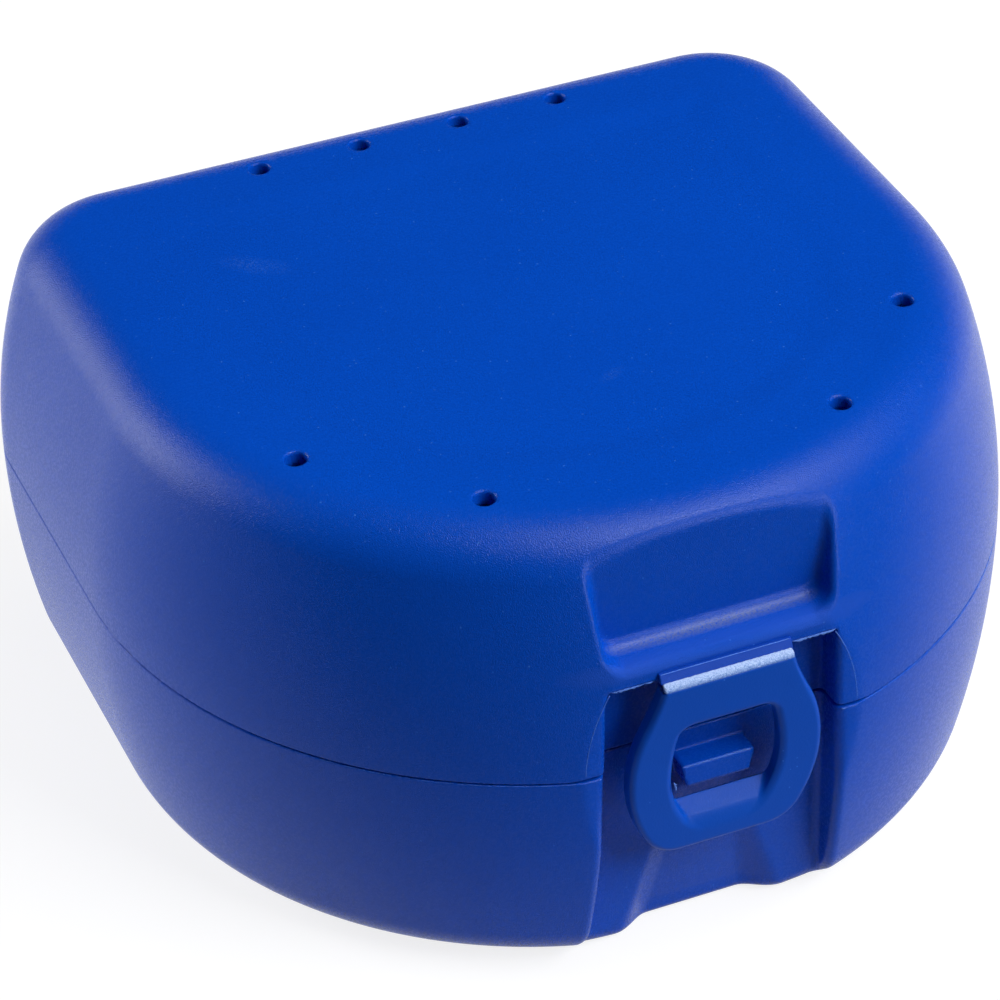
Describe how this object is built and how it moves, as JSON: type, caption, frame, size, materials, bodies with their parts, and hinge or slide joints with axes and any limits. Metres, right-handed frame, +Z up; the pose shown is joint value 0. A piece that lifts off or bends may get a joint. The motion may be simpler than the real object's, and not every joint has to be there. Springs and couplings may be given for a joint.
{
  "type": "orthodontic retainer case",
  "caption": "Deep D-shaped moulded case with a vented, back-hinged lid, a thumb pocket and a windowed ring latch on a film hinge that snaps over a catch lug.",
  "frame": {"origin": "on the rest face, under the centre of the front arc, in the middle plane", "axes": "+Z up, -Y towards the latch at the front, +X to the right seen from the front"},
  "size_m": [0.0854, 0.0851, 0.0459],
  "materials": {
    "base": "royal blue polypropylene, fine spark-eroded texture",
    "lid": "royal blue polypropylene, fine spark-eroded texture",
    "film": "blue polypropylene, whitened by bending",
    "ring": "royal blue polypropylene, smooth satin",
    "pin": "royal blue polypropylene, smooth"
  },
  "bodies": {
    "base": {"base_shell": "base", "hinge_pin_left": "pin", "hinge_pin_right": "pin"},
    "lid": {"lid_shell": "lid", "latch_film_hinge": "film"},
    "latch": {"latch_ring": "ring"}
  },
  "joints": [
    {"name": "lid_hinge", "type": "hinge", "parent": "base", "child": "lid", "pos_m": [0, 0.0405, 0.0229], "axis": [-1, 0, 0], "range_deg": [0, 120]},
    {"name": "latch_hinge", "type": "hinge", "parent": "lid", "child": "latch", "pos_m": [0, -0.04159, 0.0313], "axis": [-1, 0, 0], "range_deg": [0, 120]}
  ]
}
